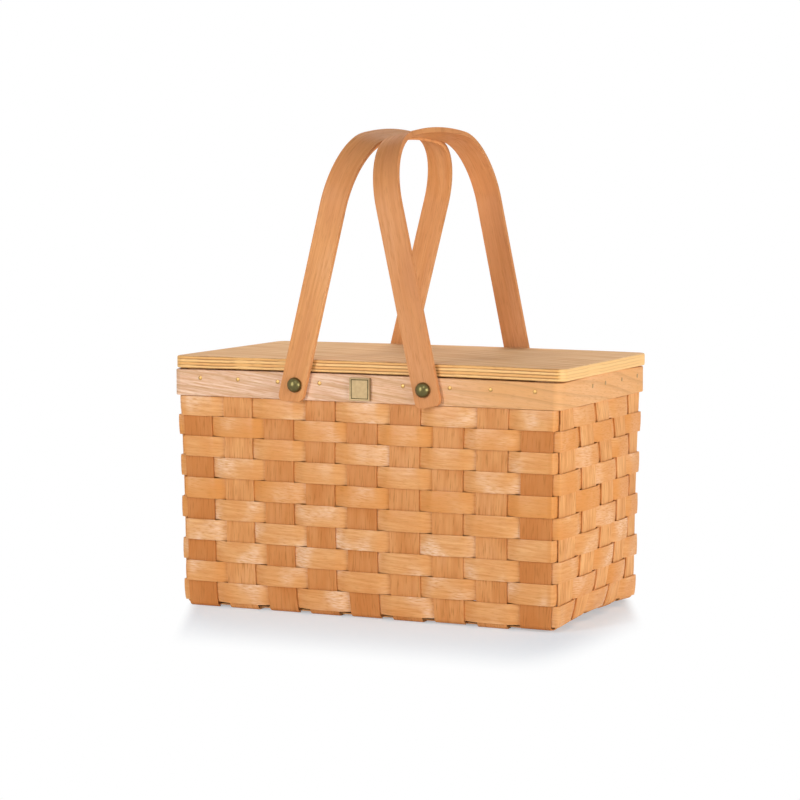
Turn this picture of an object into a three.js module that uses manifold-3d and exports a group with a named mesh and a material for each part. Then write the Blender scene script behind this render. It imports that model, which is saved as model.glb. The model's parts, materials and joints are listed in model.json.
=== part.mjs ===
// A woven splint picnic basket with a lift-off plywood lid and two bentwood swing handles.
// Millimetres. +X to the right along the front, +Y to the back, +Z up.
// The origin is under the middle of the floor.

import * as THREE from 'three';
import { mergeVertices } from 'three/addons/utils/BufferGeometryUtils.js';
import Module from 'manifold-3d';

const wasm = await Module();
wasm.setup();

// Driving sizes of the rim and the wall
const RIM_LENGTH = 410; // outside of the outer rim, left to right
const RIM_DEPTH = 233; // outside of the outer rim, front to back
const RIM_HEIGHT = 26;
const OUTER_RIM_THICKNESS = 3;
const INNER_RIM_THICKNESS = 3;
const RIM_CORNER_RADIUS = 9; // outside corner of the outer rim
const WALL_TAPER_X = 3; // each end wall leans in by this much from rim to floor
const WALL_TAPER_Y = 4; // front and back walls
const END_BULGE = 8.5; // the middle of each end wall stands out by this much half way up
const SIDE_BULGE = 3.5; // front and back walls
const END_DRAW_IN = 5; // the middle of each end wall is pulled in by this much at the floor
const SIDE_DRAW_IN = 7; // front and back walls
const DRAW_HEIGHT = 40; // height over which that pull fades out
const CORNER_DRAW_SHARE = 0.3; // how much of that pull is left at the corners

// Splints
const SPLINT_THICKNESS = 1.4;
const UPRIGHT_WIDTH = 31.6;
const LONG_UPRIGHT_COUNT = 9; // across the basket, seen on the front and back
const END_UPRIGHT_COUNT = 5; // along the basket, seen on the ends
const FLOOR_BEND_RADIUS = 4; // where a splint turns under, at mid thickness
const BEND_CLEARANCE = 0.6; // from such a bend to the next upright beside it
const UPRIGHT_TOP_SETBACK = 1; // below the top of the rim
const ROW_COUNT = 10;
const WEAVER_WIDTH = 20;
const ROW_GAP = 0.5;
const FIRST_ROW_DIP = 1; // the lowest weaver reaches this far below the top of the floor bends

// Fits
const SEAT_GAP = 0.3; // between pieces that sit on each other
const WEAVE_GAP = 0.5; // between a weaver and the upright that it crosses
const FLOOR_GAP = 0.4; // between the two layers of the floor
const PIVOT_GAP = 0.3; // around a rivet's shank, on the radius
const HANDLE_GAP = 0.6; // between a handle and the rim, and between the two handles

// Lid
const LID_THICKNESS = 11.5;
const LID_OVERHANG_X = 1.2; // past the rim at each end
const LID_INSET_Y = 1.1; // short of the rim at front and back, clear of the handles
const LID_CORNER_RADIUS = 10;
const LID_EDGE_ROUND = 1.2;
const LID_REST_GAP = 0.5;
const BATTEN_WIDTH = 22;
const BATTEN_HEIGHT = 9;
const BATTEN_PLAY = 1.5; // between a batten and the inner rim

// Handles
const HANDLE_WIDTH = 26;
const HANDLE_THICKNESS = 5;
const HANDLE_PIVOT_SPACES = 1.5; // from the middle of the basket, in upright spacings: between two uprights
const HANDLE_PIVOT_RISE = 15; // above the lower edge of the rim
const HANDLE_REACH = 248; // pivot to the middle of the crown's thickness
const HANDLE_BEND_RADIUS = 67; // at mid thickness
const HANDLE_CROWN_SLOPE = 0.13; // rise over run of the crown where it meets the bends
const HANDLE_FLARE = 2; // each leg leans out by this much up to the bend
const HANDLE_FOOT = 17; // below the pivot
const HANDLE_FOOT_ROUND = 6;
const HANDLE_OFFSET = 2.5; // a strap's middle lies outside its rivets by this much
const HANDLE_MEETING_X = 4; // the crowns lean on each other this far right of the middle

// Rivets, washers and badge
const RIVET_HEAD_DIAMETER = 14.8;
const RIVET_HEAD_HEIGHT = 6.5;
const RIVET_SHANK_DIAMETER = 5.5;
const RIVET_TAIL_DIAMETER = 8;
const RIVET_TAIL_HEIGHT = 1.6;
const WASHER_DIAMETER = 14;
const WASHER_THICKNESS = 1.2;
const BADGE_WIDTH = 21.3;
const BADGE_HEIGHT = 22;
const BADGE_THICKNESS = 2.7;
const BADGE_BORDER = 2.2;
const BADGE_BORDER_RISE = 0.5;

// Facets
const BEND_STEPS = 3;
const RIM_CORNER_STEPS = 5;
const WEAVER_CORNER_STEPS = 4;
const HANDLE_BEND_STEPS = 10;
const CROWN_STEPS = 3;
const FOOT_STEPS = 4;
const DOME_STEPS = 4;
const LID_EDGE_STEPS = 2;
const ROUND_SIDES = 20;
const MERGE_DISTANCE = 1e-4; // vertices closer than this are one

// Sizes that follow from those above
const halfSplint = SPLINT_THICKNESS / 2;
const floorStep = SPLINT_THICKNESS + FLOOR_GAP;
const floorLevel = halfSplint + floorStep; // the long uprights in the floor, at mid thickness
const rowPitch = WEAVER_WIDTH + ROW_GAP;
const firstRow = floorLevel + FLOOR_BEND_RADIUS - FIRST_ROW_DIP; // lower edge of the lowest weaver
const rimBottom = firstRow + ROW_COUNT * rowPitch;
const rimTop = rimBottom + RIM_HEIGHT;
const wallX = RIM_LENGTH / 2 - OUTER_RIM_THICKNESS - SEAT_GAP - halfSplint; // middle of the end wall
const wallY = RIM_DEPTH / 2 - OUTER_RIM_THICKNESS - SEAT_GAP - halfSplint; // middle of the front wall
const weaveOffset = SPLINT_THICKNESS + WEAVE_GAP;
const cornerRoom = FLOOR_BEND_RADIUS + BEND_CLEARANCE; // from the middle of a wall to the upright beside it
const longPitch = (2 * (wallX - cornerRoom) - UPRIGHT_WIDTH) / (LONG_UPRIGHT_COUNT - 1);
const endPitch = (2 * (wallY - cornerRoom) - UPRIGHT_WIDTH) / (END_UPRIGHT_COUNT - 1);
const crossingHalf = UPRIGHT_WIDTH / 2 + SEAT_GAP; // half the stretch where splints lie flat on each other
const lidBottom = rimTop + LID_REST_GAP;
const innerRimX = wallX - halfSplint - SEAT_GAP - INNER_RIM_THICKNESS; // inside of the inner rim
const innerRimY = wallY - halfSplint - SEAT_GAP - INNER_RIM_THICKNESS;
const pivotX = HANDLE_PIVOT_SPACES * longPitch;
const pivotHeight = rimBottom + HANDLE_PIVOT_RISE;
const handleFootY = RIM_DEPTH / 2 + HANDLE_GAP + HANDLE_THICKNESS / 2; // mid thickness at the pivot
const handleShoulderY = handleFootY + HANDLE_FLARE;
const crownAngle = Math.atan(HANDLE_CROWN_SLOPE);
const bendY = handleShoulderY - HANDLE_BEND_RADIUS; // middle of a bend
const crownRadius = (bendY + HANDLE_BEND_RADIUS * Math.sin(crownAngle)) / Math.sin(crownAngle);
const shoulderRise = HANDLE_REACH - crownRadius + (crownRadius - HANDLE_BEND_RADIUS) * Math.cos(crownAngle);
const legSlope = HANDLE_FLARE / shoulderRise;

const MATERIALS = {
  upright: new THREE.MeshStandardMaterial({ color: 0xb9783f, roughness: 0.6, metalness: 0 }),
  weaver: new THREE.MeshStandardMaterial({ color: 0xd39a55, roughness: 0.55, metalness: 0 }),
  rim: new THREE.MeshStandardMaterial({ color: 0xd3a273, roughness: 0.6, metalness: 0 }),
  lid: new THREE.MeshStandardMaterial({ color: 0xc9985c, roughness: 0.5, metalness: 0 }),
  handle: new THREE.MeshStandardMaterial({ color: 0xc58550, roughness: 0.5, metalness: 0 }),
  rivet: new THREE.MeshStandardMaterial({ color: 0x5c5230, roughness: 0.35, metalness: 0.9 }),
  badge: new THREE.MeshStandardMaterial({ color: 0xa08a55, roughness: 0.45, metalness: 0.9 }),
};

const basket = new THREE.Group();

function addMesh(name, geometry, material) {
  const mesh = new THREE.Mesh(geometry, material);
  mesh.name = name;
  basket.add(mesh);
  return mesh;
}

// Moves a line of 2-D points sideways, to the left of travel, keeping each stretch parallel to itself.
function offsetLine(points, distance, closed) {
  const count = points.length;
  return points.map((point, i) => {
    const before = closed || i > 0 ? points[(i + count - 1) % count] : null;
    const after = closed || i < count - 1 ? points[(i + 1) % count] : null;
    const inward = before ? point.clone().sub(before).normalize() : after.clone().sub(point).normalize();
    const onward = after ? after.clone().sub(point).normalize() : inward;
    const left = new THREE.Vector2(-inward.y - onward.y, inward.x + onward.x).normalize();
    const spread = left.x * -inward.y + left.y * inward.x;
    return point.clone().addScaledVector(left, distance / spread);
  });
}

// A flat band that follows a line in the XY plane and is as wide as it reaches along Z.
// Each point of the line gives four corners, and quads join them to the next four.
function bandGeometry(line, thickness, width, closed) {
  const outside = offsetLine(line, -thickness / 2, closed);
  const inside = offsetLine(line, thickness / 2, closed);
  const corners = line.flatMap((_, i) => [
    [outside[i].x, outside[i].y, 0],
    [outside[i].x, outside[i].y, width],
    [inside[i].x, inside[i].y, width],
    [inside[i].x, inside[i].y, 0],
  ]);
  const index = [];
  const steps = closed ? line.length : line.length - 1;
  for (let i = 0; i < steps; i += 1) {
    const here = 4 * i;
    const next = 4 * ((i + 1) % line.length);
    for (let side = 0; side < 4; side += 1) {
      const turn = (side + 1) % 4;
      index.push(here + side, next + side, next + turn, here + side, next + turn, here + turn);
    }
  }
  if (!closed) {
    const last = corners.length - 4;
    index.push(0, 1, 2, 0, 2, 3, last, last + 2, last + 1, last, last + 3, last + 2);
  }
  const geometry = new THREE.BufferGeometry();
  geometry.setAttribute('position', new THREE.Float32BufferAttribute(corners.flat(), 3));
  geometry.setIndex(index);
  geometry.computeVertexNormals();
  return geometry;
}

function arcPoints(centreX, centreY, radius, fromAngle, toAngle, steps) {
  const clockwise = toAngle < fromAngle;
  const curve = new THREE.EllipseCurve(centreX, centreY, radius, radius, fromAngle, toAngle, clockwise);
  return curve.getPoints(steps);
}

function roundedRectangle(halfX, halfY, radius, steps) {
  const x = halfX - radius;
  const y = halfY - radius;
  const quarter = Math.PI / 2;
  return [[x, y], [-x, y], [-x, -y], [x, -y]].flatMap(([cx, cy], i) =>
    arcPoints(cx, cy, radius, i * quarter, (i + 1) * quarter, steps));
}

// How far a wall is pulled in at a height, and at a place along it from 0 in its middle to 1 at its corners.
function wallPull(z, along, taper, bulge, drawIn) {
  const lean = Math.max(0, 1 - z / rimBottom);
  const arch = Math.max(0, Math.sin((Math.PI * z) / rimBottom));
  const low = Math.max(0, 1 - z / DRAW_HEIGHT) ** 2;
  const fade = Math.min(1, along ** 2);
  return taper * lean - bulge * arch * (1 - fade) + drawIn * low * (1 - (1 - CORNER_DRAW_SHARE) * fade);
}

// Gives the straight-sided weave its lean, its bulging walls and its drawn-in foot.
function formWall(geometry) {
  const position = geometry.attributes.position;
  for (let i = 0; i < position.count; i += 1) {
    const x = position.getX(i);
    const y = position.getY(i);
    const z = position.getZ(i);
    const pullX = wallPull(z, y / wallY, WALL_TAPER_X, END_BULGE, END_DRAW_IN);
    const pullY = wallPull(z, x / wallX, WALL_TAPER_Y, SIDE_BULGE, SIDE_DRAW_IN);
    position.setX(i, x * (1 - pullX / wallX));
    position.setY(i, y * (1 - pullY / wallY));
  }
  return geometry;
}

// Heights at which an upright follows the wall's bulge: the rim's lower edge and the gaps between the rows.
function wallStops() {
  const stops = [];
  for (let row = 1; row <= ROW_COUNT; row += 1) stops.unshift(firstRow + row * rowPitch - ROW_GAP / 2);
  return stops;
}

// One splint that comes down a wall, crosses the floor and goes up the far wall, as (across, height) points.
// The levels give the height of the floor stretch at each place across it.
function splintLine(wall, levels) {
  const top = rimTop - UPRIGHT_TOP_SETBACK;
  const first = levels[0].y;
  const last = levels[levels.length - 1].y;
  const bend = wall - FLOOR_BEND_RADIUS;
  const stops = wallStops();
  return [
    new THREE.Vector2(-wall, top),
    ...stops.map((z) => new THREE.Vector2(-wall, z)),
    ...arcPoints(-bend, first + FLOOR_BEND_RADIUS, FLOOR_BEND_RADIUS, Math.PI, 1.5 * Math.PI, BEND_STEPS),
    ...levels,
    ...arcPoints(bend, last + FLOOR_BEND_RADIUS, FLOOR_BEND_RADIUS, 1.5 * Math.PI, 2 * Math.PI, BEND_STEPS),
    ...stops.reverse().map((z) => new THREE.Vector2(wall, z)),
    new THREE.Vector2(wall, top),
  ];
}

const longPlace = (i) => (i - (LONG_UPRIGHT_COUNT - 1) / 2) * longPitch;
const endPlace = (j) => (j - (END_UPRIGHT_COUNT - 1) / 2) * endPitch;

// The long uprights lie straight in the floor, front to back.
function addLongUprights() {
  for (let i = 0; i < LONG_UPRIGHT_COUNT; i += 1) {
    const levels = [];
    for (let j = 0; j < END_UPRIGHT_COUNT; j += 1) {
      for (const side of [-1, 1]) {
        levels.push(new THREE.Vector2(endPlace(j) + (side * UPRIGHT_WIDTH) / 2, floorLevel));
      }
    }
    const line = splintLine(wallY, levels);
    const geometry = bandGeometry(line, SPLINT_THICKNESS, UPRIGHT_WIDTH, false);
    geometry.rotateX(Math.PI / 2);
    geometry.rotateZ(Math.PI / 2);
    geometry.translate(longPlace(i) - UPRIGHT_WIDTH / 2, 0, 0);
    addMesh(`long_upright_${i + 1}`, formWall(geometry), MATERIALS.upright);
  }
}

// The end uprights run the length of the basket and weave over and under the long ones in the floor.
function addEndUprights() {
  for (let j = 0; j < END_UPRIGHT_COUNT; j += 1) {
    const levels = [];
    for (let i = 0; i < LONG_UPRIGHT_COUNT; i += 1) {
      const level = floorLevel + ((i + j) % 2 === 0 ? floorStep : -floorStep);
      for (const side of [-1, 1]) levels.push(new THREE.Vector2(longPlace(i) + side * crossingHalf, level));
    }
    const line = splintLine(wallX, levels);
    const geometry = bandGeometry(line, SPLINT_THICKNESS, UPRIGHT_WIDTH, false);
    geometry.rotateX(Math.PI / 2);
    geometry.translate(0, endPlace(j) + UPRIGHT_WIDTH / 2, 0);
    addMesh(`end_upright_${j + 1}`, formWall(geometry), MATERIALS.upright);
  }
}

// The path of a weaver round the basket, anticlockwise from the front left, seen from above.
// Each wall gives its flat crossings in turn, alternately outside and inside the uprights.
function weaverLine(startsOutside) {
  const walls = [
    { count: LONG_UPRIGHT_COUNT, place: longPlace, at: (s, out) => new THREE.Vector2(s, -wallY - out) },
    { count: END_UPRIGHT_COUNT, place: endPlace, at: (s, out) => new THREE.Vector2(wallX + out, s) },
    { count: LONG_UPRIGHT_COUNT, place: longPlace, at: (s, out) => new THREE.Vector2(-s, wallY + out) },
    { count: END_UPRIGHT_COUNT, place: endPlace, at: (s, out) => new THREE.Vector2(-wallX - out, -s) },
  ];
  let out = startsOutside ? weaveOffset : -weaveOffset;
  const stretches = walls.map(({ count, place, at }) => {
    const points = [];
    for (let k = 0; k < count; k += 1) {
      points.push(at(place(k) - crossingHalf, out), at(place(k) + crossingHalf, out));
      out = -out;
    }
    return points;
  });
  return stretches.flatMap((points, w) => {
    const end = points[points.length - 1];
    const next = stretches[(w + 1) % stretches.length][0];
    const corner = w % 2 === 0 ? new THREE.Vector2(next.x, end.y) : new THREE.Vector2(end.x, next.y);
    const turn = new THREE.QuadraticBezierCurve(end, corner, next).getPoints(WEAVER_CORNER_STEPS);
    return [...points, ...turn.slice(1, -1)];
  });
}

// Row 1 is the top row. The lowest row starts inside the front left upright, and the rows alternate upwards.
function addWeavers() {
  for (let row = 1; row <= ROW_COUNT; row += 1) {
    const rowsBelow = ROW_COUNT - row;
    const geometry = bandGeometry(weaverLine(rowsBelow % 2 === 1), SPLINT_THICKNESS, WEAVER_WIDTH, true);
    geometry.translate(0, 0, firstRow + rowsBelow * rowPitch);
    addMesh(`weaver_row_${row}`, formWall(geometry), MATERIALS.weaver);
  }
}

function solidOf(geometry) {
  const plain = geometry.index ? geometry.toNonIndexed() : geometry.clone();
  plain.deleteAttribute('normal');
  plain.deleteAttribute('uv');
  const merged = mergeVertices(plain, MERGE_DISTANCE);
  return new wasm.Manifold(new wasm.Mesh({
    numProp: 3,
    vertProperties: new Float32Array(merged.attributes.position.array),
    triVerts: new Uint32Array(merged.index.array),
  }));
}

function geometryOf(solid) {
  const mesh = solid.getMesh();
  const geometry = new THREE.BufferGeometry();
  geometry.setAttribute('position', new THREE.Float32BufferAttribute(mesh.vertProperties, mesh.numProp));
  geometry.setIndex(new THREE.Uint32BufferAttribute(mesh.triVerts, 1));
  geometry.computeVertexNormals();
  return geometry;
}

function cut(geometry, cutters) {
  return geometryOf(cutters.reduce((solid, cutter) => solid.subtract(solidOf(cutter)), solidOf(geometry)));
}

// A bar along Y through the whole basket, for the hole that a rivet's shank passes.
function pivotBar(x, z) {
  const radius = RIVET_SHANK_DIAMETER / 2 + PIVOT_GAP;
  const bar = new THREE.CylinderGeometry(radius, radius, 2 * RIM_DEPTH, ROUND_SIDES);
  bar.translate(x, 0, z);
  return bar;
}

function addRims() {
  const pivots = [-1, 1].map((side) => pivotBar(side * pivotX, pivotHeight));
  const bands = [
    { name: 'outer_rim', inset: OUTER_RIM_THICKNESS / 2, thickness: OUTER_RIM_THICKNESS },
    {
      name: 'inner_rim',
      inset: OUTER_RIM_THICKNESS + SPLINT_THICKNESS + 2 * SEAT_GAP + INNER_RIM_THICKNESS / 2,
      thickness: INNER_RIM_THICKNESS,
    },
  ];
  for (const { name, inset, thickness } of bands) {
    const radius = Math.max(RIM_CORNER_RADIUS - inset, thickness / 2 + SEAT_GAP);
    const line = roundedRectangle(RIM_LENGTH / 2 - inset, RIM_DEPTH / 2 - inset, radius, RIM_CORNER_STEPS);
    const geometry = bandGeometry(line, thickness, RIM_HEIGHT, true);
    geometry.translate(0, 0, rimBottom);
    addMesh(name, cut(geometry, pivots), MATERIALS.rim);
  }
}

function addLid() {
  const edge = LID_EDGE_ROUND;
  const halfX = RIM_LENGTH / 2 + LID_OVERHANG_X - edge;
  const halfY = RIM_DEPTH / 2 - LID_INSET_Y - edge;
  const outline = roundedRectangle(halfX, halfY, LID_CORNER_RADIUS - edge, RIM_CORNER_STEPS);
  const board = new THREE.ExtrudeGeometry(new THREE.Shape(outline), {
    depth: LID_THICKNESS - 2 * edge,
    bevelEnabled: true,
    bevelThickness: edge,
    bevelSize: edge,
    bevelSegments: LID_EDGE_STEPS,
  });
  board.translate(0, 0, lidBottom + edge);
  addMesh('lid_board', board, MATERIALS.lid);

  const battenTop = lidBottom - SEAT_GAP;
  const battenLength = 2 * (innerRimY - BATTEN_PLAY);
  const battenX = innerRimX - BATTEN_PLAY - BATTEN_WIDTH / 2;
  for (const [name, side] of [['lid_batten_left', -1], ['lid_batten_right', 1]]) {
    const batten = new THREE.BoxGeometry(BATTEN_WIDTH, battenLength, BATTEN_HEIGHT);
    batten.translate(side * battenX, 0, battenTop - BATTEN_HEIGHT / 2);
    addMesh(name, batten, MATERIALS.lid);
  }
}

// The lean at which a handle's crown comes to where the two crowns meet edge to edge.
function handleLean(side) {
  const reach = HANDLE_REACH + HANDLE_THICKNESS / 2;
  const inner = HANDLE_WIDTH / 2 - HANDLE_OFFSET;
  const wanted = pivotX - side * HANDLE_MEETING_X - HANDLE_GAP / 2;
  return Math.asin(wanted / Math.hypot(reach, inner)) - Math.atan2(inner, reach);
}

// Half the arch in the handle's own plane, as (depth, rise) points from the foot at the back to the crown.
function handleHalfLine() {
  const top = Math.PI / 2;
  const foot = new THREE.Vector2(handleFootY - legSlope * HANDLE_FOOT, -HANDLE_FOOT);
  const bend = arcPoints(bendY, shoulderRise, HANDLE_BEND_RADIUS, 0, top - crownAngle, HANDLE_BEND_STEPS);
  const crown = arcPoints(0, HANDLE_REACH - crownRadius, crownRadius, top - crownAngle, top, CROWN_STEPS);
  crown[CROWN_STEPS].x = 0;
  return [foot, ...bend, ...crown.slice(1)];
}

// Cuts the corners of both feet round, by keeping what lies inside the strap's front outline.
function footOutline() {
  const half = HANDLE_WIDTH / 2;
  const shape = new THREE.Shape();
  shape.moveTo(half, HANDLE_REACH + HANDLE_THICKNESS);
  shape.lineTo(-half, HANDLE_REACH + HANDLE_THICKNESS);
  shape.lineTo(-half, -HANDLE_FOOT + HANDLE_FOOT_ROUND);
  shape.absarc(-half + HANDLE_FOOT_ROUND, -HANDLE_FOOT + HANDLE_FOOT_ROUND, HANDLE_FOOT_ROUND,
    Math.PI, 1.5 * Math.PI, false);
  shape.absarc(half - HANDLE_FOOT_ROUND, -HANDLE_FOOT + HANDLE_FOOT_ROUND, HANDLE_FOOT_ROUND,
    1.5 * Math.PI, 2 * Math.PI, false);
  return shape;
}

function handleGeometry(side) {
  const back = handleHalfLine();
  const front = back.slice(0, -1).map((p) => new THREE.Vector2(-p.x, p.y)).reverse();
  const arch = bandGeometry([...back, ...front], HANDLE_THICKNESS, HANDLE_WIDTH, false);
  arch.rotateX(Math.PI / 2);
  arch.rotateZ(Math.PI / 2);
  arch.translate(-HANDLE_WIDTH / 2, 0, 0);
  const outline = new THREE.ExtrudeGeometry(footOutline(), {
    depth: 2 * RIM_DEPTH,
    bevelEnabled: false,
    curveSegments: FOOT_STEPS,
  });
  outline.rotateX(Math.PI / 2);
  outline.translate(0, RIM_DEPTH, 0);
  const strap = solidOf(arch).intersect(solidOf(outline)).translate([side * HANDLE_OFFSET, 0, 0]);
  return geometryOf(strap.subtract(solidOf(pivotBar(0, 0))));
}

function addHandles() {
  for (const [name, side] of [['left_handle', -1], ['right_handle', 1]]) {
    const handle = addMesh(name, handleGeometry(side), MATERIALS.handle);
    handle.position.set(side * pivotX, 0, pivotHeight);
    handle.rotation.y = -side * handleLean(side);
  }
}

// A rivet's half profile as (radius, depth) points, from the crown of its head to the end of its tail.
function rivetProfile() {
  const headRadius = RIVET_HEAD_DIAMETER / 2;
  const shank = RIVET_SHANK_DIAMETER / 2;
  const tail = RIVET_TAIL_DIAMETER / 2;
  const washerEnd = rivetGrip();
  const dome = arcPoints(0, 0, 1, Math.PI / 2, 0, DOME_STEPS)
    .map((p) => new THREE.Vector2(p.x * headRadius, -p.y * RIVET_HEAD_HEIGHT));
  dome[0].x = 0;
  return [
    ...dome,
    new THREE.Vector2(shank, 0),
    new THREE.Vector2(shank, washerEnd),
    new THREE.Vector2(tail, washerEnd),
    new THREE.Vector2(tail - RIVET_TAIL_HEIGHT / 2, washerEnd + RIVET_TAIL_HEIGHT),
    new THREE.Vector2(0, washerEnd + RIVET_TAIL_HEIGHT),
  ];
}

// From the underside of a rivet's head to the underside of its tail, with the washer between.
function rivetGrip() {
  return headSeat() - (innerRimY - SEAT_GAP - WASHER_THICKNESS - SEAT_GAP);
}

// Where the underside of a rivet's head lies, clear of the handle's outer face.
function headSeat() {
  return handleFootY + HANDLE_THICKNESS / 2 + SEAT_GAP + handleFlareAtHead();
}

// How far the leaning leg stands out across the radius of the rivet's head.
function handleFlareAtHead() {
  return legSlope * (RIVET_HEAD_DIAMETER / 2);
}

function addRivets() {
  const inner = RIVET_SHANK_DIAMETER / 2 + PIVOT_GAP;
  const outer = WASHER_DIAMETER / 2;
  const places = [
    ['left_front', -1, -1],
    ['right_front', 1, -1],
    ['left_back', -1, 1],
    ['right_back', 1, 1],
  ];
  for (const [name, sideX, sideY] of places) {
    const rivet = new THREE.LatheGeometry(rivetProfile(), ROUND_SIDES);
    rivet.rotateX(sideY < 0 ? 0 : Math.PI);
    rivet.translate(sideX * pivotX, sideY * headSeat(), pivotHeight);
    addMesh(`rivet_${name}`, rivet, MATERIALS.rivet);

    const ring = [[inner, 0], [outer, 0], [outer, WASHER_THICKNESS], [inner, WASHER_THICKNESS], [inner, 0]];
    const washer = new THREE.LatheGeometry(ring.map(([r, h]) => new THREE.Vector2(r, h)), ROUND_SIDES);
    const washerLow = sideY < 0 ? -innerRimY + SEAT_GAP : innerRimY - SEAT_GAP - WASHER_THICKNESS;
    washer.translate(sideX * pivotX, washerLow, pivotHeight);
    addMesh(`washer_${name}`, washer, MATERIALS.rivet);
  }
}

// A bare square plate with a raised border, on the front of the rim.
function addBadge() {
  const plate = new THREE.BoxGeometry(BADGE_WIDTH, BADGE_THICKNESS + BADGE_BORDER_RISE, BADGE_HEIGHT);
  const recess = new THREE.BoxGeometry(BADGE_WIDTH - 2 * BADGE_BORDER, BADGE_BORDER_RISE * 2,
    BADGE_HEIGHT - 2 * BADGE_BORDER);
  recess.translate(0, -(BADGE_THICKNESS + BADGE_BORDER_RISE) / 2, 0);
  const badge = cut(plate, [recess]);
  const depth = (BADGE_THICKNESS + BADGE_BORDER_RISE) / 2;
  badge.translate(0, -RIM_DEPTH / 2 - SEAT_GAP - depth, (rimBottom + rimTop) / 2);
  addMesh('badge_plate', badge, MATERIALS.badge);
}

addLongUprights();
addEndUprights();
addWeavers();
addRims();
addLid();
addHandles();
addRivets();
addBadge();

export default basket;
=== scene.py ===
"""The looks of a woven splint picnic basket, laid out as an add-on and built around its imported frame."""

import json
import math
import random
from typing import NamedTuple

import bmesh
import bpy
from bpy.props import FloatProperty, FloatVectorProperty, PointerProperty
from mathutils import Matrix, Vector, noise


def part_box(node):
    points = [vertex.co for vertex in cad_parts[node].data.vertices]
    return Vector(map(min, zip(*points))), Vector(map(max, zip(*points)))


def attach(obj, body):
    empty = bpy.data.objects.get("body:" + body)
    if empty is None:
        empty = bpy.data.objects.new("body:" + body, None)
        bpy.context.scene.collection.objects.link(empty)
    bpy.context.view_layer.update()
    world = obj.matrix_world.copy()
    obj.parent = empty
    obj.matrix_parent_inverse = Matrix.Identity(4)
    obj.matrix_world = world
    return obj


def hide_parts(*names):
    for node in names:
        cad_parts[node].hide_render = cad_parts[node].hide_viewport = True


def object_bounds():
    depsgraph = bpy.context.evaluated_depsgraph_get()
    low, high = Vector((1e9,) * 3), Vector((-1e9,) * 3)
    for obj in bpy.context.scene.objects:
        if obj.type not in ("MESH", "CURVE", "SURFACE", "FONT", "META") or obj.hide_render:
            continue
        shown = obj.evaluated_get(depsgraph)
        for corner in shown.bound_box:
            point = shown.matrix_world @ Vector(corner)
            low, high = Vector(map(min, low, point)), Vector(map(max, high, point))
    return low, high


bl_info = {
    "name": "Woven Picnic Basket",
    "version": (1, 0, 0),
    "blender": (4, 5, 0),
    "location": "View3D > Sidebar > Basket",
    "description": "Dresses the frame of a woven splint picnic basket with its wood and metal",
    "category": "Object",
}

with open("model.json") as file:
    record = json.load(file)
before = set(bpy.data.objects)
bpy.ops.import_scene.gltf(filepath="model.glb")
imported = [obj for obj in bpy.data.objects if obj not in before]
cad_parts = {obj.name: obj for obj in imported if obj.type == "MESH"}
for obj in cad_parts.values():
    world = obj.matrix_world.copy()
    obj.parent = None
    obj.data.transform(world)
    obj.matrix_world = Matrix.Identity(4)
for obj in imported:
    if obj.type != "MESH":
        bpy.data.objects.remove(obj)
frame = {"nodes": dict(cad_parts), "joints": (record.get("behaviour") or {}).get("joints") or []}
CAD_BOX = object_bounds()

GRAIN = "grain"  # the map that follows a strip's grain, in metres along it and across it
# Tone also carries painted lighting: deeper weavers in the ends, shade painted on the left handle's
# shoulder and light painted at the right handle's crown.
TONE = "tone"  # how deep a strip's colour is beside its neighbours, from 0 to 1
MERGE = 1e-6  # vertices closer than this are one
UP = Vector((0, 0, 1))
SIDES = {"left": -1, "right": 1}
FACES = {"front": -1, "back": 1}
LONG_TONES = (0.9, 0.3, 0.7, 0.65, 0.75, 0.5, 0.45, 0.4, 0.9)  # of the uprights, left to right
END_TONES = (0.1, 0.0, 0.05, 0.0, 0.1)  # of the uprights in the ends, front to back
# painted lighting: a weaver's colour is deeper in the ends, to offset the paler reflection that those walls
# show at a slant
END_PAINTED_DEEPENING = 0.25  # how much deeper a weaver is in the ends
END_DEPTH = 0.01  # a weaver counts as in an end when it is this close to the end's wall
WEAVER_TONES = (0.05, 0.1, 0.6, 0.25, 0.2, 0.65, 0.2, 0.0, 0.05, 0.2)  # of rows 10, 1, 2 and so on
RIM_WARMS = -0.02  # where along x the rim starts to turn warmer
RIM_WARMTH_SPREAD = 0.2  # from there to where it would be all warm
RIM_WARMTH = 0.8  # the most that it gets
FRONT_TACKS = (0.006, 0.0025, 0.001, 0.001, 0, -0.001, 0.0025, -0.001, -0.0015)  # along from each upright
END_TACKS = (0.0125, 0.0015, 0.0015, 0)  # the same for the ends, from the second upright on
# The right handle's fade to plain at the crown is painted light on the crown's shaded underside.
RIGHT_STRAP_TONE = 0.4  # of the right handle's legs, which fades out towards the top of its crown
PAINTED_CROWN_LIGHT_REACH = 0.06  # from the middle of that crown to where the fade starts
PAINTED_SHADE_SPOT = Vector((-0.033, -0.105, 0.43))  # where shade is painted on the left handle's front shoulder, which faces up away from the front light
PAINTED_SHADE_DEPTH = 0.5
PAINTED_SHADE_REACH = 0.07
WEAVE_SEED = 9  # for the bow of each weaver at each crossing
TACK_SEED = 2  # for the stray of each tack
STRIP_ROWS = 6  # faces across a splint or strap
CROSSING_STEPS = 22  # faces along a weaver for each upright that it crosses
SPIN_STEPS = 48  # faces round a rivet or washer
UPRIGHT = 0.99  # an edge or a normal with this share of its length along Z counts as upright
CREASE = math.radians(50)  # edges sharper than this are rounded or stay sharp
PLIES = 4
X_AXIS = Vector((1, 0, 0))
Y_AXIS = Vector((0, 1, 0))


def srgb(red, green, blue):
    """A screen colour of 0 to 255 as the linear colour that shaders take."""
    shares = [value / 255 for value in (red, green, blue)]
    return tuple(s / 12.92 if s <= 0.04045 else ((s + 0.055) / 1.055) ** 2.4 for s in shares)


def length(name, description, default):
    """A size in metres that a user may change."""
    return FloatProperty(name=name, description=description, default=default, precision=5, unit="LENGTH")


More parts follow.
